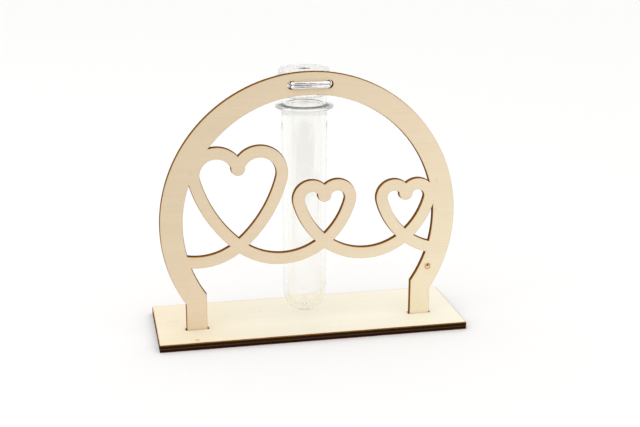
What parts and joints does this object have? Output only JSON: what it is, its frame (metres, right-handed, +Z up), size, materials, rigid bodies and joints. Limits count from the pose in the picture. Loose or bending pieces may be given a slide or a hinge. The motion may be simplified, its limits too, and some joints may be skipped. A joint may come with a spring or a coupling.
{
  "type": "bud vase",
  "caption": "Bud vase: a clear tube with a screw cap held by two turns of wire behind a round plywood arch with a fretwork of hearts, on a flat plywood base.",
  "frame": {"origin": "middle of the base plate's underside", "axes": "+X to the right, +Y to the back, from the arch to the tube, +Z up"},
  "size_m": [0.1758, 0.06, 0.1494],
  "materials": {
    "base_wood": "pale birch plywood, sanded, with laser-burnt edges",
    "arch_wood": "birch plywood, sanded, with laser-burnt edges",
    "wire": "bright drawn wire",
    "clear_tube": "clear moulded PET, glossy",
    "clear_cap": "clear moulded plastic, ribbed skirt"
  },
  "bodies": {
    "stand": {"base_plate": "base_wood", "arch_panel": "arch_wood", "wire_loop": "wire"},
    "tube": {"vase_tube": "clear_tube"},
    "cap": {"screw_cap": "clear_cap"}
  },
  "joints": [
    {"name": "tube_lift", "type": "slide", "parent": "stand", "child": "tube", "axis": [0, 0, 1], "range_m": [0, 0.0075]},
    {"name": "cap_lift", "type": "slide", "parent": "tube", "child": "cap", "axis": [0, 0, 1], "range_m": [0, 0.045]}
  ]
}
